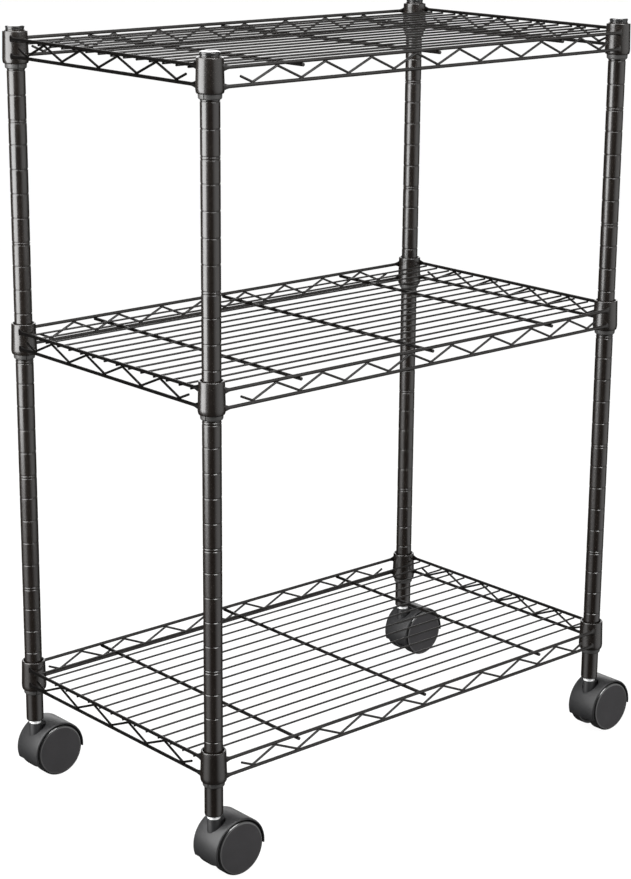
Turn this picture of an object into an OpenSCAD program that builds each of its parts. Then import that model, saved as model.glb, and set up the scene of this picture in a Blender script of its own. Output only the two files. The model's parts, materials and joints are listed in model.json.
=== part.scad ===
// Three-tier wire shelving rack on four twin-wheel swivel casters.
// Millimetres, +Z up. Origin: middle of the overall footprint, on the floor.
// +X runs along the long side, +Y from the front to the back.

/* [Footprint] */
// Distance between post axes along the long side
post_pitch_x = 564; // [300:2:1200]
// Distance between post axes along the short side
post_pitch_y = 316.6; // [200:0.2:600]

/* [Posts] */
// Outside diameter of a post tube
post_d = 19; // [16:0.1:30]
// Wall thickness of a post tube
post_wall = 1; // [0.6:0.1:2]
// Length of a post tube
post_len = 756.3; // [400:0.1:2000]
// Height of the tube end above the floor
post_foot_h = 67.3; // [50:0.1:150]
// Distance between height grooves
groove_pitch = 25.4; // [12.7:0.1:50.8]
// Height of the lowest groove above the tube end
groove_first = 54.7; // [20:0.1:100]
// Number of height grooves
groove_count = 28; // [4:1:60]
// Width of a groove at the surface
groove_w = 1.5; // [0.6:0.1:3]
// Depth of a groove
groove_depth = 0.42; // [0.2:0.02:0.8]
// Every so many grooves one is doubled as a counting mark
mark_every = 5; // [2:1:10]
// Distance from a marked groove down to its double
mark_gap = 2.8; // [2:0.1:6]

/* [Post ends] */
// Height of the cap head above the tube
cap_h = 4; // [2:0.1:10]
// How far the cap head stands out past the tube
cap_lip = 0.4; // [0:0.05:1]
// Depth of the cap plug and of the foot insert
plug_len = 14; // [6:1:30]
// Thickness of the foot insert flange
foot_flange = 1; // [0.6:0.1:3]

/* [Shelf positions] */
// Groove that carries the bottom shelf, counted from below
groove_bottom = 0; // [0:1:40]
// Groove that carries the middle shelf
groove_middle = 15; // [0:1:40]
// Groove that carries the top shelf
groove_top = 27; // [0:1:40]

/* [Corner collars] */
// Height of a corner collar
collar_h = 33; // [20:0.5:50]
// Outside diameter at the top edge
collar_d_top = 25.7; // [22:0.1:32]
// Outside diameter at the widest point
collar_d_max = 27.3; // [22:0.1:34]
// Outside diameter at the bottom edge
collar_d_low = 25.4; // [22:0.1:32]
// Bore diameter at the top edge
bore_d_top = 21.7; // [20:0.1:28]
// Bore diameter at the bottom edge
bore_d_low = 23; // [20:0.1:28]
// Distance from the carrying groove up to the collar top
collar_above_groove = 14.5; // [5:0.5:25]

/* [Split sleeves] */
// How far the sleeve top sits below the collar top
sleeve_recess = 2.6; // [0:0.1:8]
// Overall height of a sleeve
sleeve_h = 35.6; // [20:0.1:60]
// Gap between the two halves of a sleeve
sleeve_split = 0.9; // [0.4:0.1:3]

/* [Shelf wires] */
// Diameter of the edge rails and of the cross wires
rail_d = 3.6; // [2:0.1:6]
// Diameter of the zigzag wires
zig_d = 2.5; // [1.5:0.1:4]
// Diameter of the deck wires
deck_d = 2.1; // [1.5:0.1:4]
// Distance from a post axis out to the rail axis
rail_offset = 10.5; // [8:0.1:14]
// Distance between the upper and the lower rail
rail_gap = 17.6; // [10:0.1:40]
// Distance from the collar top down to the upper side rail
side_rail_drop = 7.4; // [4:0.1:20]
// Depth to which crossing wires are welded into each other
weld_bite = 0.2; // [0.05:0.05:0.6]
// Zigzag pitch along the long side
zig_pitch_long = 60; // [30:1:120]
// Zigzag pitch along the short side
zig_pitch_short = 61; // [30:1:120]
// Number of lower zigzag bends along the long side
zig_bends_long = 9; // [3:1:20]
// Number of lower zigzag bends along the short side
zig_bends_short = 5; // [3:1:20]
// Length of the free zigzag tail measured along the rail
zig_tail = 14.5; // [5:0.5:25]
// Number of deck wires
deck_count = 15; // [5:2:41]
// Distance between deck wires
deck_pitch = 20.3; // [10:0.1:40]
// Distance from the two outermost deck wires to the middle
deck_edge = 139.8; // [80:0.1:300]
// Distance between cross wires
cross_pitch = 180; // [60:1:400]
// Number of cross wires
cross_count = 3; // [1:2:9]
// How far a cross wire end stands out past the rail
cross_stub = 1.2; // [0:0.1:5]

/* [Casters] */
// Wheel diameter
wheel_d = 58; // [30:1:100]
// Width over both wheels
caster_w = 40; // [25:0.5:80]
// Distance from the swivel axis to the axle
caster_trail = 19.5; // [10:0.5:40]
// Outside radius of the hood
hood_r = 32; // [20:0.5:60]
// Wall thickness of the hood
hood_wall = 2.2; // [1.5:0.1:4]
// Hood width, slightly less than over both wheels
hood_w = 38.4; // [20:0.1:80]
// Where the hood starts, degrees above the axle on the trailing side
hood_start = -5; // [-20:1:40]
// Where the hood ends, degrees round over the top
hood_end = 200; // [180:1:240]
// Diameter of the cut-out in the hood round the swivel boss
notch_d = 19; // [16:0.5:30]
// How far the cut-out is moved towards the trailing side
notch_shift = 3; // [0:0.5:8]
// Height of the lower end of the cut-out
notch_z = 50; // [40:0.5:60]
// Diameter of the stem flange
stem_flange_d = 13.2; // [10:0.1:20]
// Height of the stem flange
stem_flange_h = 4; // [2:0.1:10]
// Diameter of the stem pin inside the hood and of the stem in the insert
stem_d = 10; // [6:0.5:14]
// Diameter of the axle
axle_d = 5; // [3:0.5:8]
// Outside diameter of the swivel boss
boss_d = 14; // [10:0.5:20]

/* [Hidden] */
$fn = 64;
fit = 0.05;
post_r = post_d / 2;
tube_r = post_r - post_wall;
half_x = post_pitch_x / 2;
half_y = post_pitch_y / 2;
// casters trail towards +X, so the middle of the footprint is not the middle of the posts
shift_x = (collar_d_max / 2 - caster_trail - hood_r * cos(max(hood_start, 0))) / 2;
rail_r = rail_d / 2;
zig_r = zig_d / 2;
deck_r = deck_d / 2;
deck_drop = side_rail_drop + rail_r + deck_r - weld_bite;
cross_drop = deck_drop + deck_r + rail_r - weld_bite;
front_rail_drop = cross_drop - 2 * rail_r + weld_bite;
zig_inset = rail_r + zig_r - 0.6;
rail_end = 7.2;
bead_r = 2.1;
axle_z = wheel_d / 2;
insert_z = post_foot_h - foot_flange;
flange_z = insert_z - stem_flange_h;
boss_top = flange_z - 0.2;
boss_low = axle_z + 9;
wheel_in = boss_d / 2 + 0.3;
wheel_out = caster_w / 2;
web_t = 6;
shelves = [["bottom", groove_bottom], ["middle", groove_middle], ["top", groove_top]];
steel = [0.13, 0.12, 0.11];
plastic = [0.06, 0.06, 0.065];
zinc = [0.8, 0.8, 0.82];

// ---- helpers ----
function corner(sx, sy) = [shift_x + sx * half_x, sy * half_y, 0];
function collar_top(g) = post_foot_h + groove_first + g * groove_pitch + collar_above_groove;
function bore_r(d) = (bore_d_top + (bore_d_low - bore_d_top) * d / collar_h) / 2;
// points of one groove, listed upwards
function notch(z) = [[post_r, z - groove_w / 2], [post_r - groove_depth, z - groove_w / 5],
                     [post_r - groove_depth, z + groove_w / 5], [post_r, z + groove_w / 2]];
function marked(i) = i % mark_every == mark_every - 1;
function groove_z(i) = groove_first + i * groove_pitch;
function all_notches() = [for (i = [0:groove_count - 1])
  each concat(marked(i) ? notch(groove_z(i) - mark_gap) : [], notch(groove_z(i)))];

module at(sx, sy) { translate(corner(sx, sy)) children(); }
// straight wire from a to b
module wire(a, b, r) {
  d = b - a;
  h = norm(d);
  translate(a) rotate([0, acos(d[2] / h), atan2(d[1], d[0])]) cylinder(h = h, r = r, $fn = 48);
}
module at_corners() { for (sx = [-1, 1], sy = [-1, 1]) at(sx, sy) children(); }

// ---- posts and their end fittings ----
module post() {
  translate([0, 0, post_foot_h]) rotate_extrude()
    polygon(concat([[tube_r, 0], [post_r - 0.2, 0], [post_r, 0.2]], all_notches(),
                   [[post_r, post_len - 0.2], [post_r - 0.2, post_len], [tube_r, post_len]]));
}
module cap() {
  translate([0, 0, post_foot_h + post_len]) rotate_extrude() polygon([
    [0, cap_h - 0.3], [post_r - 1.6, cap_h - 0.3], [post_r - 1.2, cap_h],
    [post_r + cap_lip - 0.8, cap_h - 0.1], [post_r + cap_lip, cap_h - 0.9],
    [post_r + cap_lip, cap_h - 1.8], [post_r + 0.05, cap_h - 2.4], [post_r + 0.05, 0.02], [tube_r - fit, 0.02], [tube_r - fit, 1 - plug_len],
    [tube_r - 0.8, -plug_len], [tube_r - 2, -plug_len], [tube_r - 2, 0.8], [0, 0.8]]);
}
module insert() {
  translate([0, 0, insert_z]) rotate_extrude() polygon([
    [stem_d / 2 + fit, 0], [post_r - 0.6, 0], [post_r - 0.2, 0.4], [post_r - 0.2, foot_flange - 0.02],
    [tube_r - fit, foot_flange - 0.02], [tube_r - fit, plug_len + foot_flange - 1],
    [tube_r - 1, plug_len + foot_flange], [stem_d / 2 + fit, plug_len + foot_flange]]);
}
module stem() {
  translate([0, 0, flange_z]) rotate_extrude() polygon([
    [0, boss_low - flange_z + 3], [stem_d / 2 - 1, boss_low - flange_z + 3],
    [stem_d / 2, boss_low - flange_z + 4], [stem_d / 2, -3], [stem_d / 2 - 0.6, -2.6],
    [stem_d / 2 - 0.6, -1.6], [stem_d / 2, -1.2], [stem_d / 2, 0], [stem_flange_d / 2 - 0.4, 0],
    [stem_flange_d / 2, 0.4], [stem_flange_d / 2, stem_flange_h - 0.4],
    [stem_flange_d / 2 - 0.4, stem_flange_h - 0.02], [stem_d / 2, stem_flange_h - 0.02],
    [stem_d / 2, stem_flange_h + 20], [stem_d / 2 - 1, stem_flange_h + 21], [0, stem_flange_h + 21]]);
}

// ---- split sleeves and corner collars ----
module sleeve(turn) {
  low = sleeve_recess + sleeve_h;
  difference() {
    rotate_extrude() polygon([
      [post_r + fit, -low], [bore_d_low / 2 - 0.9, -low], [bore_d_low / 2 - 0.3, -low + 1.2],
      [bore_d_low / 2 - fit, -collar_h], [bore_r(sleeve_recess) - fit, -sleeve_recess],
      [post_r + fit, -sleeve_recess], [post_r + fit, -collar_above_groove + 0.45],
      [post_r - 0.3, -collar_above_groove + 0.15], [post_r - 0.3, -collar_above_groove - 0.15],
      [post_r + fit, -collar_above_groove - 0.45]]);
    rotate([0, 0, turn]) translate([-20, -sleeve_split / 2, -low - 1])
      cube([40, sleeve_split, sleeve_h + 2]);
  }
}
module sleeve_set(g) {
  color(plastic) translate([0, 0, collar_top(g)]) {
    at(-1, -1) sleeve(20);
    at(1, -1) sleeve(115);
    at(-1, 1) sleeve(68);
    at(1, 1) sleeve(150);
  }
}
module collar() {
  rotate_extrude() polygon([
    [bore_d_low / 2, -collar_h], [collar_d_low / 2 - 0.3, -collar_h], [collar_d_low / 2, -collar_h + 0.4],
    [collar_d_max / 2, -collar_h + 4.5], [collar_d_max / 2 - 0.05, -collar_h + 7],
    [collar_d_top / 2, -0.5], [collar_d_top / 2 - 0.4, 0], [bore_d_top / 2, 0]]);
}
module collar_set(g) {
  color(steel) translate([0, 0, collar_top(g)]) at_corners() collar();
}

// ---- wire shelf, drawn with the collar top at z = 0 ----
// edge truss along +X: two rails, one zigzag wire between them, weld beads at the rail ends
module truss(half, pitch, bends) {
  reach = half - rail_end;
  low = -rail_gap + zig_inset;
  high = -zig_inset;
  first = -(bends - 1) / 2 * pitch;
  rise = (high - low) * zig_tail / (pitch / 2);
  for (z = [0, -rail_gap]) {
    wire([-reach, 0, z], [reach, 0, z], rail_r);
    for (s = [-1, 1]) translate([s * (half - 8.7), 0.1, z]) sphere(r = bead_r);
  }
  for (i = [0:bends - 1]) {
    x = first + i * pitch;
    tail = low + rise;
    wire([x, 0, low], i < bends - 1 ? [x + pitch / 2, 0, high] : [x + zig_tail, 0, tail], zig_r);
    wire(i > 0 ? [x - pitch / 2, 0, high] : [x - zig_tail, 0, tail], [x, 0, low], zig_r);
    translate([x, 0, low]) sphere(r = zig_r + 0.08);
    if (i > 0) translate([x - pitch / 2, 0, high]) sphere(r = zig_r + 0.08);
  }
}
module long_truss(g, sy) {
  color(steel) translate([shift_x, sy * (half_y + rail_offset), collar_top(g) - front_rail_drop])
    rotate([0, 0, 90 + 90 * sy]) mirror([0, 1, 0]) truss(half_x, zig_pitch_long, zig_bends_long);
}
module short_truss(g, sx) {
  color(steel) translate([shift_x + sx * (half_x + rail_offset), 0, collar_top(g) - side_rail_drop])
    rotate([0, 0, 90 * sx]) mirror([0, 1, 0]) truss(half_y, zig_pitch_short, zig_bends_short);
}
module deck(g) {
  reach = half_x + rail_offset + 0.5;
  mid = (deck_count - 1) / 2;
  color(steel) translate([shift_x, 0, collar_top(g) - deck_drop]) for (i = [-mid:mid])
    let (y = abs(i) == mid ? sign(i) * deck_edge : i * deck_pitch)
      wire([-reach, y, 0], [reach, y, 0], deck_r);
}
module cross(g) {
  reach = half_y + rail_offset + rail_r + cross_stub;
  mid = (cross_count - 1) / 2;
  color(steel) translate([shift_x, 0, collar_top(g) - cross_drop]) for (i = [-mid:mid])
    wire([i * cross_pitch, -reach, 0], [i * cross_pitch, reach, 0], rail_r);
}

// ---- casters, drawn with the swivel axis on Z, trailing towards +X ----
module hood_shell() {
  rotate([90, 0, 0]) rotate([0, 0, hood_start]) rotate_extrude(angle = hood_end - hood_start)
    polygon([[hood_r - hood_wall, -hood_w / 2], [hood_r - 1, -hood_w / 2], [hood_r, -hood_w / 2 + 1.2],
             [hood_r, hood_w / 2 - 1.2], [hood_r - 1, hood_w / 2], [hood_r - hood_wall, hood_w / 2]]);
}
module hood() {
  difference() {
    union() {
      translate([caster_trail, 0, axle_z]) {
        difference() {
          hood_shell();
          translate([notch_shift - caster_trail, 0, notch_z - axle_z]) cylinder(h = hood_r, d = notch_d);
        }
        difference() {
          rotate([90, 0, 0]) cylinder(h = web_t, r = hood_r - 0.5, center = true);
          rotate([0, -hood_start, 0]) translate([0, -web_t, -hood_r * 2])
            cube([hood_r * 2, web_t * 2, hood_r * 2]);
          translate([-hood_r * 2, -web_t, -hood_r * 2]) cube([hood_r * 3, web_t * 2, hood_r * (2 + sin(hood_end))]);
        }
        rotate([90, 0, 0]) cylinder(h = boss_d, d = 13, center = true);
      }
      translate([0, 0, boss_low]) cylinder(h = boss_top - boss_low, d = boss_d);
    }
    translate([0, 0, boss_low + 2.5]) cylinder(h = 60, r = stem_d / 2 + fit);
    translate([caster_trail, 0, axle_z]) rotate([90, 0, 0])
      cylinder(h = 60, r = axle_d / 2 + 0.01, center = true);
  }
}
module axle() {
  translate([caster_trail, 0, axle_z]) rotate([90, 0, 0])
    cylinder(h = caster_w - 5, r = axle_d / 2, center = true);
}
module wheel(side) {
  r = wheel_d / 2;
  translate([caster_trail, 0, axle_z]) rotate([side * 90, 0, 0]) rotate_extrude() polygon([
    [axle_d / 2 + fit, wheel_in], [6.5, wheel_in], [6.5, wheel_out - 4], [r - 4, wheel_out - 4],
    [r - 4, wheel_in], [r - 1, wheel_in], [r, wheel_in + 1], [r, wheel_out - 2.6],
    [r - 0.35, wheel_out - 1.3], [r - 1.3, wheel_out - 0.35], [r - 2.6, wheel_out],
    [0, wheel_out], [0, wheel_out - 2], [axle_d / 2 + fit, wheel_out - 2]]);
}

module post_fl() { color(steel) at(-1, -1) post(); }
module post_fr() { color(steel) at(1, -1) post(); }
module post_bl() { color(steel) at(-1, 1) post(); }
module post_br() { color(steel) at(1, 1) post(); }
module cap_fl() { color(plastic) at(-1, -1) cap(); }
module cap_fr() { color(plastic) at(1, -1) cap(); }
module cap_bl() { color(plastic) at(-1, 1) cap(); }
module cap_br() { color(plastic) at(1, 1) cap(); }
module insert_fl() { color(plastic) at(-1, -1) insert(); }
module insert_fr() { color(plastic) at(1, -1) insert(); }
module insert_bl() { color(plastic) at(-1, 1) insert(); }
module insert_br() { color(plastic) at(1, 1) insert(); }
module stem_fl() { color(zinc) at(-1, -1) stem(); }
module stem_fr() { color(zinc) at(1, -1) stem(); }
module stem_bl() { color(zinc) at(-1, 1) stem(); }
module stem_br() { color(zinc) at(1, 1) stem(); }
module sleeves_bottom() { sleeve_set(groove_bottom); }
module sleeves_middle() { sleeve_set(groove_middle); }
module sleeves_top() { sleeve_set(groove_top); }
module collars_bottom() { collar_set(groove_bottom); }
module collars_middle() { collar_set(groove_middle); }
module collars_top() { collar_set(groove_top); }
module front_truss_bottom() { long_truss(groove_bottom, -1); }
module front_truss_middle() { long_truss(groove_middle, -1); }
module front_truss_top() { long_truss(groove_top, -1); }
module back_truss_bottom() { long_truss(groove_bottom, 1); }
module back_truss_middle() { long_truss(groove_middle, 1); }
module back_truss_top() { long_truss(groove_top, 1); }
module left_truss_bottom() { short_truss(groove_bottom, -1); }
module left_truss_middle() { short_truss(groove_middle, -1); }
module left_truss_top() { short_truss(groove_top, -1); }
module right_truss_bottom() { short_truss(groove_bottom, 1); }
module right_truss_middle() { short_truss(groove_middle, 1); }
module right_truss_top() { short_truss(groove_top, 1); }
module deck_bottom() { deck(groove_bottom); }
module deck_middle() { deck(groove_middle); }
module deck_top() { deck(groove_top); }
module cross_bottom() { cross(groove_bottom); }
module cross_middle() { cross(groove_middle); }
module cross_top() { cross(groove_top); }
module hood_fl() { color(plastic) at(-1, -1) hood(); }
module hood_fr() { color(plastic) at(1, -1) hood(); }
module hood_bl() { color(plastic) at(-1, 1) hood(); }
module hood_br() { color(plastic) at(1, 1) hood(); }
module axle_fl() { color(zinc) at(-1, -1) axle(); }
module axle_fr() { color(zinc) at(1, -1) axle(); }
module axle_bl() { color(zinc) at(-1, 1) axle(); }
module axle_br() { color(zinc) at(1, 1) axle(); }
module wheel_near_fl() { color(plastic) at(-1, -1) wheel(1); }
module wheel_near_fr() { color(plastic) at(1, -1) wheel(1); }
module wheel_near_bl() { color(plastic) at(-1, 1) wheel(1); }
module wheel_near_br() { color(plastic) at(1, 1) wheel(1); }
module wheel_far_fl() { color(plastic) at(-1, -1) wheel(-1); }
module wheel_far_fr() { color(plastic) at(1, -1) wheel(-1); }
module wheel_far_bl() { color(plastic) at(-1, 1) wheel(-1); }
module wheel_far_br() { color(plastic) at(1, 1) wheel(-1); }

post_fl();
post_fr();
post_bl();
post_br();
cap_fl();
cap_fr();
cap_bl();
cap_br();
insert_fl();
insert_fr();
insert_bl();
insert_br();
stem_fl();
stem_fr();
stem_bl();
stem_br();
sleeves_bottom();
sleeves_middle();
sleeves_top();
collars_bottom();
collars_middle();
collars_top();
front_truss_bottom();
front_truss_middle();
front_truss_top();
back_truss_bottom();
back_truss_middle();
back_truss_top();
left_truss_bottom();
left_truss_middle();
left_truss_top();
right_truss_bottom();
right_truss_middle();
right_truss_top();
deck_bottom();
deck_middle();
deck_top();
cross_bottom();
cross_middle();
cross_top();
hood_fl();
hood_fr();
hood_bl();
hood_br();
axle_fl();
axle_fr();
axle_bl();
axle_br();
wheel_near_fl();
wheel_near_fr();
wheel_near_bl();
wheel_near_br();
wheel_far_fl();
wheel_far_fr();
wheel_far_bl();
wheel_far_br();
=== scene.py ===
"""Rolling wire shelving rack: the visual model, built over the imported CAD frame.

Shapes are worked out in millimetres, in the frame of the CAD model, and stored in metres.
"""
import json
import math

import bmesh
import bpy
from mathutils import Matrix, Vector

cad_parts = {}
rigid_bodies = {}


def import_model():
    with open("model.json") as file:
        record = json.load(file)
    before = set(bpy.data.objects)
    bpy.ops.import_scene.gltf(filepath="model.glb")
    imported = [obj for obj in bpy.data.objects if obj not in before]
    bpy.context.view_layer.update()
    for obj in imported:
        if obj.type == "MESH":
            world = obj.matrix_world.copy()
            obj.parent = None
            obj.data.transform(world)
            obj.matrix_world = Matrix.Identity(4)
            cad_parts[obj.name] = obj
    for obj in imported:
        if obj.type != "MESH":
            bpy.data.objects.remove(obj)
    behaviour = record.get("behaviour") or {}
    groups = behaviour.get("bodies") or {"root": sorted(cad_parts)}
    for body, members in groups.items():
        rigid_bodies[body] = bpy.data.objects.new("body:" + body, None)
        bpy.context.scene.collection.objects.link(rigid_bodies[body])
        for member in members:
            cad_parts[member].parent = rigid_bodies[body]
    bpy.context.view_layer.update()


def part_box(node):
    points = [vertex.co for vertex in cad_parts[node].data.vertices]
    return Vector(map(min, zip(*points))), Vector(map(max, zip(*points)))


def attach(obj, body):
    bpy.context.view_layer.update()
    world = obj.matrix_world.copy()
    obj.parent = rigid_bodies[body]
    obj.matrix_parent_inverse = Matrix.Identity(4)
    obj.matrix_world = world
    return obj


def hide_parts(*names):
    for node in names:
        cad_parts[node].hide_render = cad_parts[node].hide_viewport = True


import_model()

MM = 0.001
CORNERS = {"fl": (-1, -1), "fr": (1, -1), "bl": (-1, 1), "br": (1, 1)}
TIERS = ("bottom", "middle", "top")


def span(node):
    """Lowest and highest corner of a CAD node, in millimetres."""
    low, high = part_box(node)
    return low / MM, high / MM


# ---------------------------------------------------------------- mesh helpers
ON_AXIS = 1e-6


class Shape:
    """Points, faces and the material number of each face, in millimetres."""

    def __init__(self):
        self.points, self.faces, self.paint = [], [], []

    def skin(self, rings, loop=False, caps=False):
        """Joins rings of points into one closed shell. A ring of one point is a pole."""
        index = []
        for ring in rings:
            first = len(self.points)
            self.points += ring
            index.append(range(first, first + len(ring)))
        pairs = list(zip(index, index[1:]))
        if loop:
            pairs.append((index[-1], index[0]))
        found = []
        for a, b in pairs:
            for i in range(max(len(a), len(b))):
                j = (i + 1) % max(len(a), len(b))
                corners = (a[i % len(a)], a[j % len(a)], b[j % len(b)], b[i % len(b)])
                face = list(dict.fromkeys(corners))
                if len(face) > 2:
                    found.append(face)
        if caps:
            found += [list(index[0]), list(index[-1])]
        self.faces += found
        self.paint += [0] * len(found)


def turned(shape, profile, centre, steps=64, axis="z"):
    """Solid of revolution of (radius, height) points about z or y.

    A profile that starts and ends on the axis is solid, else it closes on itself as a ring.
    """
    cx, cy, cz = centre
    rings = []
    for r, h in profile:
        ring = []
        for k in range(steps if r > ON_AXIS else 1):
            a = 2 * math.pi * k / steps
            u, v = r * math.cos(a), r * math.sin(a)
            ring.append((cx + u, cy + v, cz + h) if axis == "z"
                        else (cx + u, cy + h, cz + v))
        rings.append(ring)
    shape.skin(rings, loop=profile[0][0] > ON_AXIS)


def arc(cx, cy, r, start, end, steps):
    """Points of an arc, angles in degrees."""
    return [(cx + r * math.cos(math.radians(start + (end - start) * k / steps)),
             cy + r * math.sin(math.radians(start + (end - start) * k / steps)))
            for k in range(steps + 1)]


def wire(shape, path, side, radius, sides=16, nose=0.3, flat=None):
    """Round wire along a path that lies in the plane square to side.

    nose is the rounding at each end. flat(i) gives the two half sizes, across and in the plane,
    at each point of the path.
    """
    path = [Vector(p) for p in path]
    side = Vector(side)
    last = len(path) - 1
    rings = []

    def ring(centre, tangent, a, b):
        up = side.cross(tangent).normalized()
        return [tuple(centre + side * (a * math.cos(t)) + up * (b * math.sin(t)))
                for t in (2 * math.pi * k / sides for k in range(sides))]

    for i, p in enumerate(path):
        ahead = (path[min(i + 1, last)] - p).normalized() if i < last else None
        behind = (p - path[i - 1]).normalized() if i else None
        tangent = ((ahead or behind) + (behind or ahead)).normalized()
        a, b = flat(i) if flat else (radius, radius)
        cut = min(nose, a * 0.8)
        if i == 0:
            rings += [[tuple(p)], ring(p, tangent, a - cut, b - cut),
                      ring(p + tangent * cut * 0.3, tangent, a - cut * 0.3, b - cut * 0.3),
                      ring(p + tangent * cut, tangent, a, b)]
        elif i == last:
            rings += [ring(p - tangent * cut, tangent, a, b),
                      ring(p - tangent * cut * 0.3, tangent, a - cut * 0.3, b - cut * 0.3),
                      ring(p, tangent, a - cut, b - cut), [tuple(p)]]
        else:
            rings.append(ring(p, tangent, a, b))
    shape.skin(rings)


def filleted(path, radius, steps=6):
    """The path with its inner corners rounded."""
    path = [Vector(p) for p in path]
    out = [path[0]]
    for before, p, after in zip(path, path[1:], path[2:]):
        a, b = (before - p).normalized(), (after - p).normalized()
        half = a.angle(b) / 2
        reach = radius / math.tan(half)
        middle = p + (a + b).normalized() * (radius / math.sin(half))
        start, end = p + a * reach - middle, p + b * reach - middle
        turn = start.angle(end)
        for k in range(steps + 1):
            t = k / steps
            out.append(middle + (start * math.sin((1 - t) * turn) + end * math.sin(t * turn))
                       / math.sin(turn))
    return out + [path[-1]]


def nugget(shape, centre, size, rows=6, steps=12):
    """Small rounded lump of weld metal."""
    cx, cy, cz = centre
    a, b, c = size
    rings = [[(cx, cy, cz - c)]]
    for i in range(1, rows):
        t = math.pi * i / rows
        rings.append([(cx + a * math.sin(t) * math.cos(2 * math.pi * k / steps),
                       cy + b * math.sin(t) * math.sin(2 * math.pi * k / steps),
                       cz - c * math.cos(t)) for k in range(steps)])
    shape.skin(rings + [[(cx, cy, cz + c)]])


def carved(shape, cutter):
    """The shape with the cutter taken away."""
    blanks = []
    for solid in (shape, cutter):
        data = bpy.data.meshes.new("blank")
        data.from_pydata(solid.points, [], solid.faces)
        facing = bmesh.new()
        facing.from_mesh(data)
        bmesh.ops.recalc_face_normals(facing, faces=facing.faces)
        facing.to_mesh(data)
        facing.free()
        blanks.append(bpy.data.objects.new("blank", data))
        bpy.context.scene.collection.objects.link(blanks[-1])
    cut = blanks[0].modifiers.new("cut", "BOOLEAN")
    cut.operation, cut.object, cut.solver = "DIFFERENCE", blanks[1], "EXACT"
    seen = blanks[0].evaluated_get(bpy.context.evaluated_depsgraph_get())
    data = seen.to_mesh()
    out = Shape()
    out.points = [tuple(v.co) for v in data.vertices]
    out.faces = [list(f.vertices) for f in data.polygons]
    out.paint = [0] * len(out.faces)
    seen.to_mesh_clear()
    for blank in blanks:
        data = blank.data
        bpy.data.objects.remove(blank)
        bpy.data.meshes.remove(data)
    return out


def piece(name, shape, body, nodes, slot, *materials, crease=32):
    """One visible object that rides on a body and stands for CAD nodes."""
    data = bpy.data.meshes.new(name)
    data.from_pydata([Vector(p) * MM for p in shape.points], [], shape.faces)
    data.polygons.foreach_set("material_index", shape.paint)
    tidy = bmesh.new()
    tidy.from_mesh(data)
    bmesh.ops.recalc_face_normals(tidy, faces=tidy.faces)
    tidy.to_mesh(data)
    tidy.free()
    data.shade_smooth()
    data.set_sharp_from_angle(angle=math.radians(crease))
    obj = bpy.data.objects.new(name, data)
    bpy.context.scene.collection.objects.link(obj)
    for m in materials:
        data.materials.append(m)
    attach(obj, body)
    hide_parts(*nodes)
    return obj


# ------------------------------------------------------------------- materials
def new_material(name):
    m = bpy.data.materials.new(name)
    m.use_nodes = True
    nodes = m.node_tree.nodes
    return m, nodes, m.node_tree.links, nodes["Principled BSDF"]


def noise(nodes, links, coord, scale, detail):
    n = nodes.new("ShaderNodeTexNoise")
    n.inputs["Scale"].default_value = scale
    n.inputs["Detail"].default_value = detail
    links.new(coord.outputs["Object"], n.inputs["Vector"])
    return n.outputs["Fac"]


def ramp(nodes, links, value, stops):
    """Blends between two (position, colour) stops."""
    r = nodes.new("ShaderNodeValToRGB")
    for element, (position, colour) in zip(r.color_ramp.elements, stops):
        element.position, element.color = position, (*colour, 1)
    links.new(value, r.inputs["Fac"])
    return r.outputs["Color"]


def spread(nodes, links, value, low, high, start=0.3, end=0.7):
    """Maps a noise value to low..high."""
    m = nodes.new("ShaderNodeMapRange")
    for key, v in (("From Min", start), ("From Max", end), ("To Min", low), ("To Max", high)):
        m.inputs[key].default_value = v
    links.new(value, m.inputs["Value"])
    return m.outputs["Result"]


def bump(nodes, links, bsdf, heights):
    """Stacks bumps, each a height output, a strength and a depth in mm, onto the shader."""
    under = None
    for height, strength, depth in heights:
        b = nodes.new("ShaderNodeBump")
        b.inputs["Strength"].default_value = strength
        b.inputs["Distance"].default_value = depth * MM
        links.new(height, b.inputs["Height"])
        if under:
            links.new(under, b.inputs["Normal"])
        under = b.outputs["Normal"]
    links.new(under, bsdf.inputs["Normal"])


# Noise scales are in cells per metre, bump depths in millimetres.
CLOUD_SCALE, PEEL_SCALE, GRAIN_SCALE = 28, 420, 1500
CLOUD_SHARE, PEEL_SHARE = 0.55, 0.45
PEEL_DEPTH, GRAIN_DEPTH, GRAIN_TO_PEEL = 0.12, 0.03, 0.8
FLOW_SCALE, FINE_TO_PIT, FINE_DEPTH_TO_PIT = 45, 1.7, 0.6
TURNING_SCALE, BLOTCH_SCALE = 900, 350
COAT_IOR, PLASTIC_IOR = 1.52, 1.5


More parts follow.
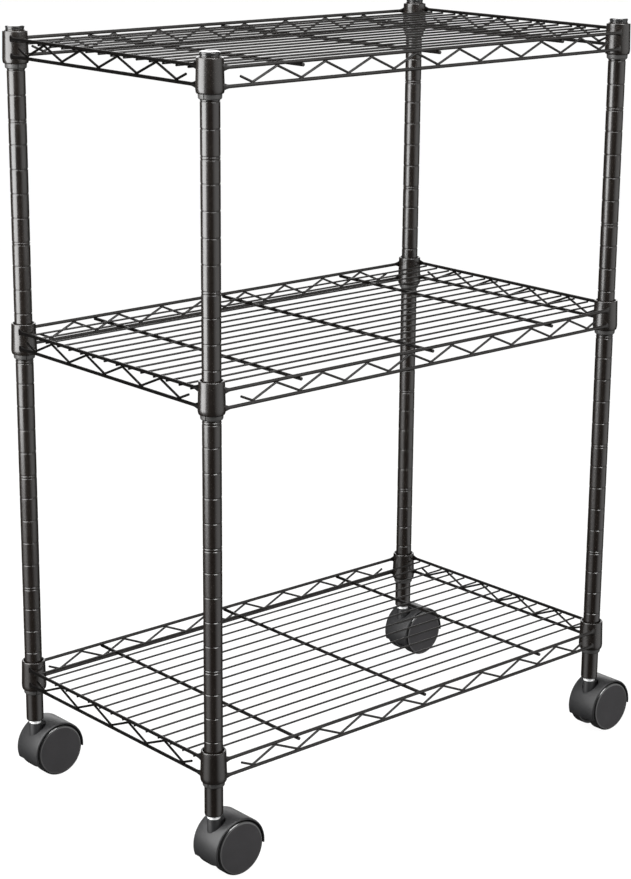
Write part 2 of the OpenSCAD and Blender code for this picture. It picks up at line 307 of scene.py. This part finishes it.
def coat(name, dark, light, rough, peel, shine=0.5):
    """Baked epoxy coat: faint cloudiness, orange peel and fine grain."""
    m, nodes, links, bsdf = new_material(name)
    coord = nodes.new("ShaderNodeTexCoord")
    cloud = noise(nodes, links, coord, CLOUD_SCALE, 4)
    fine = noise(nodes, links, coord, PEEL_SCALE, 3)
    grain = noise(nodes, links, coord, GRAIN_SCALE, 2)
    mix = nodes.new("ShaderNodeMath")
    mix.operation = "MULTIPLY_ADD"
    mix.inputs[1].default_value = PEEL_SHARE
    links.new(fine, mix.inputs[0])
    part = nodes.new("ShaderNodeMath")
    part.operation = "MULTIPLY"
    part.inputs[1].default_value = CLOUD_SHARE
    links.new(cloud, part.inputs[0])
    links.new(part.outputs[0], mix.inputs[2])
    tone = mix.outputs[0]
    links.new(ramp(nodes, links, tone, [(0.36, dark), (0.64, light)]), bsdf.inputs["Base Color"])
    links.new(spread(nodes, links, tone, *rough, 0.38, 0.62), bsdf.inputs["Roughness"])
    bsdf.inputs["IOR"].default_value = COAT_IOR
    bsdf.inputs["Specular IOR Level"].default_value = shine
    bump(nodes, links, bsdf, [(fine, peel, PEEL_DEPTH),
                              (grain, peel * GRAIN_TO_PEEL, GRAIN_DEPTH)])
    return m


def plastic(name, dark, light, rough, texture, depth, scale=1300, shine=0.5):
    """Moulded plastic: a fine spark-eroded texture over soft flow marks."""
    m, nodes, links, bsdf = new_material(name)
    coord = nodes.new("ShaderNodeTexCoord")
    flow = noise(nodes, links, coord, FLOW_SCALE, 3)
    pits = nodes.new("ShaderNodeTexVoronoi")
    pits.inputs["Scale"].default_value = scale
    links.new(coord.outputs["Object"], pits.inputs["Vector"])
    fine = noise(nodes, links, coord, scale * FINE_TO_PIT, 2)
    links.new(ramp(nodes, links, flow, [(0.3, dark), (0.7, light)]), bsdf.inputs["Base Color"])
    links.new(spread(nodes, links, fine, *rough), bsdf.inputs["Roughness"])
    bsdf.inputs["IOR"].default_value = PLASTIC_IOR
    bsdf.inputs["Specular IOR Level"].default_value = shine
    bump(nodes, links, bsdf, [(pits.outputs["Distance"], texture, depth),
                              (fine, texture, depth * FINE_DEPTH_TO_PIT)])
    return m


def zinc(name):
    """Bright zinc plate with turning marks."""
    m, nodes, links, bsdf = new_material(name)
    coord = nodes.new("ShaderNodeTexCoord")
    marks = nodes.new("ShaderNodeTexWave")
    marks.bands_direction = "Z"
    marks.inputs["Scale"].default_value = TURNING_SCALE
    marks.inputs["Distortion"].default_value = 1.5
    links.new(coord.outputs["Object"], marks.inputs["Vector"])
    blotch = noise(nodes, links, coord, BLOTCH_SCALE, 4)
    tint = ramp(nodes, links, blotch, [(0.3, (0.84, 0.85, 0.86)), (0.7, (0.93, 0.93, 0.92))])
    links.new(tint, bsdf.inputs["Base Color"])
    links.new(spread(nodes, links, blotch, 0.24, 0.38), bsdf.inputs["Roughness"])
    bsdf.inputs["Metallic"].default_value = 0.45
    bump(nodes, links, bsdf, [(marks.outputs["Fac"], 0.25, 0.02), (blotch, 0.2, 0.03)])
    return m


def grey(value):
    return (value, value, value)


# Each coat or plastic: its two colours, its range of roughness, then the strength of its bumps.
POST = coat("post_coat", (0.0048, 0.0036, 0.0029), (0.0072, 0.0057, 0.0047),
            (0.22, 0.27), 0.05)
SHELF = coat("shelf_coat", (0.0046, 0.0036, 0.0030), (0.0072, 0.0058, 0.0049),
             (0.22, 0.29), 0.035)
WIRE = coat("wire_coat", (0.0040, 0.0032, 0.0027), (0.0062, 0.0051, 0.0044),
            (0.38, 0.48), 0.06, shine=0.3)
CAP = plastic("cap_plastic", grey(0.008), grey(0.014), (0.08, 0.16), 0.12, 0.03, 500)
SLEEVE = plastic("sleeve_plastic", (0.016, 0.0155, 0.015), (0.026, 0.025, 0.024),
                 (0.42, 0.55), 0.35, 0.05)
HOOD = plastic("caster_plastic", (0.0075, 0.0075, 0.0079), (0.0115, 0.0115, 0.0120),
               (0.42, 0.50), 0.35, 0.05, shine=0.3)
WHEEL = plastic("wheel_plastic", (0.0085, 0.0077, 0.0087), (0.0125, 0.0114, 0.0128),
                (0.54, 0.62), 0.25, 0.04, shine=0.4)
TREAD = plastic("wheel_rim", grey(0.006), grey(0.010), (0.16, 0.22), 0.12, 0.03, shine=0.9)
ZINC = zinc("zinc")


# ---------------------------------------------------------------- posts, end fittings
GROOVE_PITCH, GROOVE_FIRST, GROOVES = 25.4, 54.7, 28
GROOVE_HALF, GROOVE_DEPTH = 0.75, 0.42
GROOVE_STEPS, GROOVE_EDGE, GROOVE_FLAT = (0, 0.3, 0.55, 0.8, 1.0, 1.25, 1.6), 1.25, 1.15
MARK_EVERY, MARK_GAP = 5, 2.8
POST_WALL = 1.0
PLUG_GAP, PLUG_DEPTH = 0.05, 14
STEM_R, STEM_NECK_R, STEM_TALL = 5, 4.4, 24
STEM_HOLE_R = 5.05
FLANGE_BELOW = 4


def groove(z, r):
    """Outline of a rolled groove with soft shoulders."""
    out = []
    for k in [-k for k in GROOVE_STEPS[:0:-1]] + list(GROOVE_STEPS):
        depth = max(0.0, 0.5 + 0.5 * math.cos(math.pi * min(1.0, abs(k) / GROOVE_EDGE)))
        out.append((r - GROOVE_DEPTH * min(1.0, GROOVE_FLAT * depth), z + k * GROOVE_HALF))
    return out


def post_axis(c):
    """Where a corner's post stands, and its radius."""
    low, high = span(f"post_{c}")
    return (low.x + high.x) / 2, (low.y + high.y) / 2, (high.x - low.x) / 2


def build_tube(c):
    x, y, r = post_axis(c)
    low, high = span(f"post_{c}")
    length = high.z - low.z
    tube = Shape()
    outline = [(r - POST_WALL, 0.15), (r - POST_WALL + 0.15, 0)]
    outline += arc(r - 0.5, 0.5, 0.5, -90, 0, 5) + [(r, 1.0)]
    for i in range(GROOVES):
        z = GROOVE_FIRST + i * GROOVE_PITCH
        if i % MARK_EVERY == MARK_EVERY - 1:
            outline += groove(z - MARK_GAP, r)[:-1] + groove(z, r)[1:]
        else:
            outline += groove(z, r)
    outline += [(r, length - 0.8)] + arc(r - 0.25, length - 0.25, 0.25, 0, 90, 3)
    outline += [(r - POST_WALL, length)]
    turned(tube, outline, (x, y, low.z), 64)
    piece(f"post_tube_{c}", tube, "frame", [f"post_{c}"], "post_coat", POST)


def build_cap(c):
    x, y, r = post_axis(c)
    post_top = span(f"post_{c}")[1].z
    low, high = span(f"cap_{c}")
    rim, top = (high.x - low.x) / 2, high.z - post_top
    plug = r - POST_WALL - PLUG_GAP
    cap = Shape()
    outline = [(0, top - 0.55), (3.4, top - 0.5), (5.8, top - 0.3), (6.9, top - 0.06), (7.5, top)]
    outline += arc(rim - 1.5, top - 1.5, 1.5, 90, 0, 9)
    outline += [(rim, top - 1.75), (rim - 0.12, top - 2.0), (r + 0.1, top - 2.3),
                (r + 0.05, top - 2.6), (r + 0.05, 0.3), (r - 0.1, 0.05),
                (plug, 0.02), (plug, 1.2 - PLUG_DEPTH), (plug - 0.9, -PLUG_DEPTH),
                (plug - 2, -PLUG_DEPTH), (plug - 2, 0.8), (0, 0.8)]
    turned(cap, outline, (x, y, post_top), 64)
    piece(f"post_cap_{c}", cap, "frame", [f"cap_{c}"], "cap_plastic", CAP, crease=50)


def build_foot(c):
    """Plastic insert in the foot of a post, and the caster stem screwed into it."""
    x, y, r = post_axis(c)
    low, high = span(f"insert_{c}")
    rim, tall = (high.x - low.x) / 2, high.z - low.z
    plug = r - POST_WALL - PLUG_GAP
    foot = Shape()
    outline = [(STEM_HOLE_R, 0.3), (STEM_HOLE_R + 0.3, 0)] + arc(rim - 0.45, 0.45, 0.45, -90, 0, 4)
    outline += [(rim, 0.98), (plug, 0.98), (plug, tall - 1), (plug - 0.9, tall),
                (STEM_HOLE_R, tall)]
    turned(foot, outline, (x, y, low.z), 48)
    piece(f"post_foot_{c}", foot, "frame", [f"insert_{c}"], "sleeve_plastic", SLEEVE)

    base = low.z - FLANGE_BELOW
    low, high = span(f"stem_{c}")
    flange, end = (high.x - low.x) / 2, low.z - base
    stem = Shape()
    outline = [(0, end), (STEM_R - 1, end), (STEM_R, end + 1), (STEM_R, -3),
               (STEM_NECK_R, -2.6), (STEM_NECK_R, -1.6), (STEM_R, -1.2), (STEM_R, 0)]
    outline += arc(flange - 0.45, 0.45, 0.45, -90, 0, 5)
    outline += [(flange - 0.12, 1.3), (flange - 0.12, 2.5)]
    outline += arc(flange - 0.6, 3.38, 0.6, 0, 90, 5)
    outline += [(STEM_R, 3.98), (STEM_R, STEM_TALL), (STEM_R - 1, STEM_TALL + 1),
                (0, STEM_TALL + 1)]
    turned(stem, outline, (x, y, base), 56)
    piece(f"caster_stem_{c}", stem, "frame", [f"stem_{c}"], "zinc", ZINC, crease=45)


# ---------------------------------------------------------------- sleeves and collars
SLEEVE_TURN = {"fl": 20, "fr": 115, "bl": 68, "br": 150}
COLLAR_H, BORE_TOP, BORE_LOW = 33.0, 21.7, 23.0
SLEEVE_GAP = 0.05
RIB_BELOW_TOP, RIB_DEPTH = 14.5, 0.33
SPLIT, SLEEVE_STEPS = 0.9, 28


def build_sleeves(tier):
    """Two half sleeves on each post, with a rib that snaps into a groove."""
    shape = Shape()
    low, high = span(f"sleeves_{tier}")
    top = span(f"collars_{tier}")[1].z
    z0, z1 = low.z - top, high.z - top
    wide = BORE_LOW / 2 - SLEEVE_GAP
    narrow = (BORE_TOP + (BORE_LOW - BORE_TOP) * -z1 / COLLAR_H) / 2 - SLEEVE_GAP
    for c, turn in SLEEVE_TURN.items():
        x, y, post_r = post_axis(c)
        inner = post_r + SLEEVE_GAP
        outline = [(inner, z0 + 0.2), (inner + 0.2, z0), (wide - 1.3, z0),
                   (wide - 0.75, z0 + 0.25), (wide - 0.35, z0 + 0.8), (wide - 0.2, z0 + 1.6),
                   (wide, -COLLAR_H), (narrow, z1 - 0.4), (narrow - 0.4, z1), (inner, z1),
                   (inner, -RIB_BELOW_TOP + 0.5), (inner - RIB_DEPTH, -RIB_BELOW_TOP + 0.2),
                   (inner - RIB_DEPTH, -RIB_BELOW_TOP - 0.2), (inner, -RIB_BELOW_TOP - 0.5)]
        for half in (0, 180):
            rings = []
            for k in range(SLEEVE_STEPS + 1):
                ring = []
                for r, z in outline:
                    slit = math.asin(SPLIT / 2 / r)
                    a = (math.radians(turn + half) + slit
                         + (math.pi - 2 * slit) * k / SLEEVE_STEPS)
                    ring.append((x + r * math.cos(a), y + r * math.sin(a), top + z))
                rings.append(ring)
            shape.skin(rings, caps=True)
    piece(f"split_sleeves_{tier}", shape, "frame", [f"sleeves_{tier}"], "sleeve_plastic", SLEEVE)


# Radius and height below the rim, from the foot of the bore round the outside to its top.
COLLAR_OUTLINE = [
    (11.5, -32.85), (11.65, -33), (12.3, -33), (12.62, -32.9), (12.88, -32.65), (13.08, -32.2),
    (13.28, -31.4), (13.49, -30.3), (13.61, -29.2), (13.65, -28.2), (13.62, -26.8),
    (13.5, -23.5), (13.2, -14), (12.95, -5), (12.85, -1.2), (12.79, -0.7), (12.65, -0.32),
    (12.4, -0.08), (12.05, 0), (11.4, -0.03), (11.05, -0.2), (10.87, -0.6), (10.95, -4)]


def build_collars(tier):
    shape = Shape()
    top = span(f"collars_{tier}")[1].z
    for c in CORNERS:
        x, y, _ = post_axis(c)
        turned(shape, COLLAR_OUTLINE, (x, y, top), 72)
    piece(f"shelf_collars_{tier}", shape, f"shelf_{tier}", [f"collars_{tier}"], "shelf_coat",
          SHELF)


# ---------------------------------------------------------------- wire shelf
RAIL_R, ZIG_R, DECK_R = 1.8, 1.25, 1.05
RAIL_GAP, RAIL_OUT = 17.6, 10.5
ZIG_INSET, ZIG_TAIL, BEND_R = 2.45, 14.5, 3.2
ZIGZAGS = {"front": (60, 9), "back": (60, 9), "left": (61, 5), "right": (61, 5)}  # pitch, bends
FAN_END, FAN_LENGTH, FAN_HALF, FAN_THICK = 6.7, 7.6, 3.8, 0.95
FAN_STEPS, FAN_FLARE = 7, 0.7
FAN_WELD_IN, FAN_WELD = 8.0, (1.5, 1.35, 3.4)
ZIG_WELD, ZIG_WELD_SINK = (3.0, 1.2, 0.75), 0.3
DECK_PITCH, DECK_ROWS, DECK_EDGE = 20.3, 6, 139.8
CROSS_PITCH, CROSS_WELD = 180, (1.5, 1.35, 0.6)


def build_truss(tier, where):
    """Two rails with fish-tail ends, and one zigzag wire welded between them."""
    name = f"{where}_truss_{tier}"
    pitch, bends = ZIGZAGS[where]
    low, high = span(name)
    middle = (low.z + high.z) / 2
    upper, lower = middle + RAIL_GAP / 2, middle - RAIL_GAP / 2
    (xl, yf, _), (xr, yb, _) = post_axis("fl"), post_axis("br")
    if where in ("front", "back"):
        axis, side, half = Vector((1, 0, 0)), Vector((0, 1, 0)), (xr - xl) / 2
        base = Vector(((xl + xr) / 2, yf - RAIL_OUT if where == "front" else yb + RAIL_OUT, 0))
    else:
        axis, side, half = Vector((0, 1, 0)), Vector((1, 0, 0)), (yb - yf) / 2
        base = Vector((xl - RAIL_OUT if where == "left" else xr + RAIL_OUT, (yf + yb) / 2, 0))
    up = Vector((0, 0, 1))
    shape = Shape()

    def at(u, z):
        return base + axis * u + up * z

    def weld(centre, size):
        along, across, tall = size
        nugget(shape, centre, axis * along + side * across + up * tall)

    end = half - FAN_END
    marks = [FAN_LENGTH * k / FAN_STEPS for k in range(FAN_STEPS + 1)]
    stations = ([m - end for m in marks] + [-half / 2, 0, half / 2]
                + [end - m for m in reversed(marks)])

    def section(i):
        t = min(1.0, (end - abs(stations[i])) / FAN_LENGTH)
        t = t * t * (3 - 2 * t)
        return (FAN_THICK + (RAIL_R - FAN_THICK) * t,
                FAN_HALF + (RAIL_R - FAN_HALF) * t ** FAN_FLARE)

    for z in (upper, lower):
        wire(shape, [at(u, z) for u in stations], side, RAIL_R, 20, 0.3, section)
        for s in (-1, 1):
            weld(at(s * (half - FAN_WELD_IN), z), FAN_WELD)
    z_low, z_high = lower + ZIG_INSET, upper - ZIG_INSET
    first = -(bends - 1) / 2 * pitch
    tail = z_low + (z_high - z_low) * ZIG_TAIL / (pitch / 2)
    lift = BEND_R * (1 / math.cos(math.atan2(z_high - z_low, pitch / 2)) - 1)
    sink = ZIG_R - ZIG_WELD_SINK
    path = [at(first - ZIG_TAIL, tail)]
    for i in range(bends):
        u = first + i * pitch
        path.append(at(u, z_low - lift))
        weld(at(u, z_low - sink), ZIG_WELD)
        if i < bends - 1:
            u = first + (i + 0.5) * pitch
            path.append(at(u, z_high + lift))
            weld(at(u, z_high + sink), ZIG_WELD)
    path.append(at(-first + ZIG_TAIL, tail))
    wire(shape, filleted(path, BEND_R), side, ZIG_R, 16, 0.25)
    piece(f"edge_{where}_{tier}", shape, f"shelf_{tier}", [name], "shelf_coat", WIRE)


def build_deck(tier):
    """Long deck wires, and the three cross wires that carry them."""
    body = f"shelf_{tier}"
    low, high = span(f"deck_{tier}")
    z, middle = (low.z + high.z) / 2, (low.x + high.x) / 2
    rows = [DECK_PITCH * i for i in range(-DECK_ROWS, DECK_ROWS + 1)] + [-DECK_EDGE, DECK_EDGE]
    deck = Shape()
    for y in sorted(rows):
        wire(deck, [(low.x, y, z), (middle, y, z), (high.x, y, z)], (0, 1, 0), DECK_R, 14, 0.25)
    low, high = span(f"cross_{tier}")
    cross_z = (low.z + high.z) / 2
    weld_z = (z - DECK_R + cross_z + RAIL_R) / 2
    xs = [(low.x + high.x) / 2 + CROSS_PITCH * i for i in (-1, 0, 1)]
    for x in xs:
        for y in rows:
            nugget(deck, (x, y, weld_z), CROSS_WELD)
    piece(f"deck_wires_{tier}", deck, body, [f"deck_{tier}"], "shelf_coat", WIRE)
    bars = Shape()
    for x in xs:
        wire(bars, [(x, low.y, cross_z), (x, 0, cross_z), (x, high.y, cross_z)], (1, 0, 0),
             RAIL_R, 20, 0.4)
    piece(f"cross_wires_{tier}", bars, body, [f"cross_{tier}"], "shelf_coat", WIRE)


# ---------------------------------------------------------------- casters
HOOD_R, HOOD_WALL, HOOD_HALF = 32.0, 2.2, 19.2
HOOD_FROM, HOOD_TO, HOOD_STEPS = -5, 200, 72
NOTCH_R, NOTCH_Z, NOTCH_SHIFT, NOTCH_TALL = 9.5, 50.0, 3.0, 30
WEB_HALF, WEB_EDGE_R, WEB_FOOT_R, WEB_CORNER = 3, HOOD_R - 0.8, 7.5, (-6, -10)
HUB_HALF, HUB_R, HUB_BORE_R = 7, 6.5, 2.6
BOSS_R, BOSS_UP, BOSS_WELL = 7.0, 9, 11.5
BOSS_BELOW = FLANGE_BELOW + 0.2
PIN_HALF, PIN_R = 17.5, 2.5
WHEEL_BORE_R, WHEEL_HUB_R, WHEEL_ROUND, WHEEL_WEB = 2.55, 6.5, 2.7, 4
RIM_BAND = 3


def build_hood(c, x, y, ax, az):
    """Hood over the wheels, with its web, axle hub and stem boss."""
    hood = Shape()
    inner = HOOD_R - HOOD_WALL
    outline = [(inner, 0.5 - HOOD_HALF), (inner + 0.35, 0.1 - HOOD_HALF),
               (inner + 0.6, -HOOD_HALF), (HOOD_R - 1.3, -HOOD_HALF),
               (HOOD_R - 0.7, 0.22 - HOOD_HALF), (HOOD_R - 0.25, 0.75 - HOOD_HALF),
               (HOOD_R, 1.6 - HOOD_HALF)]
    outline += [(r, -h) for r, h in reversed(outline)]
    rings = []
    for k in range(HOOD_STEPS + 1):
        a = math.radians(HOOD_FROM + (HOOD_TO - HOOD_FROM) * k / HOOD_STEPS)
        rings.append([(ax + r * math.cos(a), y + h, az + r * math.sin(a)) for r, h in outline])
    hood.skin(rings, caps=True)
    cutter = Shape()
    turned(cutter, [(0, NOTCH_Z), (NOTCH_R, NOTCH_Z), (NOTCH_R, NOTCH_Z + NOTCH_TALL),
                    (0, NOTCH_Z + NOTCH_TALL)], (x + NOTCH_SHIFT, y, 0), 48)
    hood = carved(hood, cutter)
    edge = arc(ax, az, WEB_EDGE_R, HOOD_FROM, HOOD_TO, 40)
    edge += [(ax + WEB_CORNER[0], az + WEB_CORNER[1])] + arc(ax, az, WEB_FOOT_R, 270, 360, 6)
    hood.skin([[(px, y + side, pz) for px, pz in edge] for side in (-WEB_HALF, WEB_HALF)],
              caps=True)
    turned(hood, [(HUB_BORE_R, -HUB_HALF), (HUB_R - 0.3, -HUB_HALF), (HUB_R, 0.3 - HUB_HALF),
                  (HUB_R, HUB_HALF - 0.3), (HUB_R - 0.3, HUB_HALF), (HUB_BORE_R, HUB_HALF)],
           (ax, y, az), 40, "y")
    foot, well, top = az + BOSS_UP, az + BOSS_WELL, span(f"insert_{c}")[0].z - BOSS_BELOW
    turned(hood, [(0, foot), (BOSS_R - 0.5, foot), (BOSS_R, foot + 0.5), (BOSS_R, top - 0.8),
                  (BOSS_R - 0.25, top - 0.25), (BOSS_R - 0.8, top), (STEM_HOLE_R, top),
                  (STEM_HOLE_R, well), (0, well)], (x, y, 0), 48)
    piece(f"caster_hood_{c}", hood, f"caster_{c}", [f"hood_{c}"], "caster_plastic", HOOD,
          crease=40)


def build_wheel(c, which, y, ax, az, wheel_r):
    """Cup-shaped wheel: a closed outer face, open towards the web. Its edge is polished."""
    low, high = span(f"wheel_{which}_{c}")
    s = -1 if which == "near" else 1
    face = abs((low.y if s < 0 else high.y) - y)
    inside = abs((high.y if s < 0 else low.y) - y)
    wheel = Shape()
    outline = [(0, face - 2), (WHEEL_BORE_R, face - 2), (WHEEL_BORE_R, inside + 0.3),
               (WHEEL_BORE_R + 0.3, inside), (WHEEL_HUB_R - 0.3, inside),
               (WHEEL_HUB_R, inside + 0.3), (WHEEL_HUB_R, face - WHEEL_WEB - 0.4),
               (WHEEL_HUB_R + 0.4, face - WHEEL_WEB), (wheel_r - 4.4, face - WHEEL_WEB),
               (wheel_r - 4, face - WHEEL_WEB - 0.4), (wheel_r - 4, inside + 0.3),
               (wheel_r - 3.7, inside), (wheel_r - 1.3, inside), (wheel_r - 0.5, inside + 0.3),
               (wheel_r, inside + 1.2)]
    outline += arc(wheel_r - WHEEL_ROUND, face - WHEEL_ROUND - 0.2, WHEEL_ROUND, 0, 90, 10)
    outline += [(wheel_r - 3.6, face - 0.16), (wheel_r * 0.6, face - 0.05),
                (wheel_r * 0.3, face - 0.01), (0, face)]
    turned(wheel, [(r, s * h) for r, h in outline], (ax, y, az), 96, "y")
    for i, f in enumerate(wheel.faces):
        reach = [math.hypot(wheel.points[k][0] - ax, wheel.points[k][2] - az) for k in f]
        wheel.paint[i] = int(min(reach) > wheel_r - RIM_BAND)
    piece(f"caster_wheel_{which}_{c}", wheel, f"wheel_{which}_{c}", [f"wheel_{which}_{c}"],
          "wheel_plastic", WHEEL, TREAD, crease=38)


def build_caster(c):
    low, high = span(f"wheel_near_{c}")
    ax, az, wheel_r = (low.x + high.x) / 2, (low.z + high.z) / 2, (high.z - low.z) / 2
    x, y, _ = post_axis(c)
    build_hood(c, x, y, ax, az)
    pin = Shape()
    turned(pin, [(0, -PIN_HALF), (PIN_R - 0.4, -PIN_HALF), (PIN_R, 0.4 - PIN_HALF),
                 (PIN_R, PIN_HALF - 0.4), (PIN_R - 0.4, PIN_HALF), (0, PIN_HALF)],
           (ax, y, az), 32, "y")
    piece(f"caster_pin_{c}", pin, f"caster_{c}", [f"axle_{c}"], "zinc", ZINC)
    for which in ("near", "far"):
        build_wheel(c, which, y, ax, az, wheel_r)


for corner in CORNERS:
    build_tube(corner)
    build_cap(corner)
    build_foot(corner)
for tier in TIERS:
    build_sleeves(tier)
    build_collars(tier)
    for where in ZIGZAGS:
        build_truss(tier, where)
    build_deck(tier)
for corner in CORNERS:
    build_caster(corner)


# ---------------------------------------------------------------- floor, light, camera
FLOOR_HALF, FLOOR_Z = 40, -0.0003


def build_floor():
    """Pale paper that glows by itself, so that it stays evenly white."""
    data = bpy.data.meshes.new("floor")
    corners = [(FLOOR_HALF * x, FLOOR_HALF * y, FLOOR_Z)
               for x, y in ((-1, -1), (1, -1), (1, 1), (-1, 1))]
    data.from_pydata(corners, [], [(0, 1, 2, 3)])
    obj = bpy.data.objects.new("floor", data)
    bpy.context.scene.collection.objects.link(obj)
    m, nodes, links, bsdf = new_material("floor_paper")
    cloud = noise(nodes, links, nodes.new("ShaderNodeTexCoord"), 3, 3)
    tint = ramp(nodes, links, cloud, [(0.3, (0.048, 0.048, 0.047)), (0.7, (0.052, 0.052, 0.051))])
    links.new(tint, bsdf.inputs["Base Color"])
    bsdf.inputs["Roughness"].default_value = 0.9
    bsdf.inputs["Specular IOR Level"].default_value = 0.1
    bsdf.inputs["Emission Color"].default_value = (1, 1, 1, 1)
    bsdf.inputs["Emission Strength"].default_value = 0.95
    data.materials.append(m)
    obj.visible_glossy = False


YAW, PITCH, ROLL = 41.534, 16.002, -0.468
EYE = Vector((-1.5623, -1.73211, 1.03751))
LENS, SENSOR = 89.543, 36

yaw, pitch, roll = (math.radians(v) for v in (YAW, PITCH, ROLL))
FORWARD = Vector((math.sin(yaw), math.cos(yaw), 0))
RIGHT = Vector((math.cos(yaw), -math.sin(yaw), 0))
ahead = FORWARD * math.cos(pitch) - Vector((0, 0, math.sin(pitch)))
down = ahead.cross(RIGHT)
right, down = (math.cos(roll) * RIGHT + math.sin(roll) * down,
               -math.sin(roll) * RIGHT + math.cos(roll) * down)
camera = bpy.data.objects.new("camera", bpy.data.cameras.new("camera"))
camera.data.lens, camera.data.sensor_width, camera.data.sensor_fit = LENS, SENSOR, "AUTO"
camera.data.clip_end = 200
turn = Matrix((right, -down, -ahead)).transposed().to_4x4()
camera.matrix_world = Matrix.Translation(EYE) @ turn
bpy.context.scene.collection.objects.link(camera)
bpy.context.scene.camera = camera

TARGET = Vector((0, 0, 0.42))
ROOM_LIGHT, ROOM_SEEN = 0.03, (0.98, 0.98, 0.98, 1)


def softbox(name, away, degrees, height, size, watts):
    """Area light round the object; degrees count from the camera, plus to the right."""
    a = math.radians(degrees)
    place = away * (-FORWARD * math.cos(a) + RIGHT * math.sin(a)) + Vector((0, 0, height))
    lamp = bpy.data.lights.new(name, "AREA")
    lamp.shape, lamp.energy = "RECTANGLE", watts
    lamp.size, lamp.size_y = size
    obj = bpy.data.objects.new(name, lamp)
    aim = (TARGET - place).to_track_quat("-Z", "Y").to_matrix().to_4x4()
    obj.matrix_world = Matrix.Translation(place) @ aim
    obj.visible_camera = False
    bpy.context.scene.collection.objects.link(obj)
    return obj


def flagged(lamp, lit):
    """Keeps the lamp off all but the objects whose names start with one of lit."""
    group = bpy.data.collections.new("lit_by_" + lamp.name)
    for obj in bpy.context.scene.objects:
        if obj.name.startswith(lit):
            group.objects.link(obj)
    lamp.light_linking.receiver_collection = group


def build_world():
    """Studio that the object mirrors, and a plain white one that the camera sees."""
    world = bpy.data.worlds.new("studio")
    bpy.context.scene.world = world
    world.use_nodes = True
    nodes, links = world.node_tree.nodes, world.node_tree.links
    nodes.clear()
    coord = nodes.new("ShaderNodeTexCoord")

    def glow(direction, start, end, power):
        dot = nodes.new("ShaderNodeVectorMath")
        dot.operation = "DOT_PRODUCT"
        dot.inputs[1].default_value = direction
        links.new(coord.outputs["Generated"], dot.inputs[0])
        step = nodes.new("ShaderNodeMapRange")
        step.interpolation_type = "SMOOTHSTEP"
        for key, v in (("From Min", start), ("From Max", end), ("To Min", 0), ("To Max", power)):
            step.inputs[key].default_value = v
        links.new(dot.outputs["Value"], step.inputs["Value"])
        return step.outputs["Result"]

    def joined(operation, a, b):
        node = nodes.new("ShaderNodeMath")
        node.operation = operation
        for socket, v in zip(node.inputs, (a, b)):
            if isinstance(v, (int, float)):
                socket.default_value = v
            else:
                links.new(v, socket)
        return node.outputs[0]

    up, under = (0, 0, 1), (0, 0, -1)
    # a band behind the object, from the horizon to 30 degrees up
    back = joined("MULTIPLY", glow(FORWARD, 0.7, 0.95, 4.5), glow(up, -0.05, 0.15, 1.0))
    back = joined("MULTIPLY", back, glow(under, -0.5, -0.3, 1.0))
    # panels on the right, and on the left below the horizon, where upright parts mirror them
    right_panel = glow(RIGHT * 0.966 - FORWARD * 0.259, 0.6, 1.0, 1.9)
    left_panel = glow(-RIGHT * 0.883 - FORWARD * 0.469, 0.7, 1.0, 2.4)
    left_panel = joined("MULTIPLY", left_panel, glow(under, -0.05, 0.15, 1.0))
    total = joined("ADD", back, glow(up, 0.3, 0.9, 0.35))
    for part in (right_panel, left_panel, ROOM_LIGHT):
        total = joined("ADD", total, part)
    room = nodes.new("ShaderNodeBackground")
    links.new(total, room.inputs["Strength"])
    plain = nodes.new("ShaderNodeBackground")
    plain.inputs["Color"].default_value = ROOM_SEEN
    path = nodes.new("ShaderNodeLightPath")
    mix = nodes.new("ShaderNodeMixShader")
    links.new(path.outputs["Is Camera Ray"], mix.inputs["Fac"])
    links.new(room.outputs[0], mix.inputs[1])
    links.new(plain.outputs[0], mix.inputs[2])
    out = nodes.new("ShaderNodeOutputWorld")
    links.new(mix.outputs[0], out.inputs["Surface"])


build_floor()
build_world()
# Side on, a black wire mirrors the key light in full and looks white, so the wires go without it.
flagged(softbox("key_left", 1.12, -62, 0.92, (1.0, 1.9), 64),
        ("post_tube", "post_cap", "post_foot", "split_sleeves", "shelf_collars", "caster_",
         "floor"))
softbox("overhead", 0.3, -30, 2.3, (0.9, 0.9), 36)
softbox("front_high", 1.7, 40, 1.9, (1.4, 0.6), 58)
bpy.context.scene.view_settings.view_transform = "Standard"
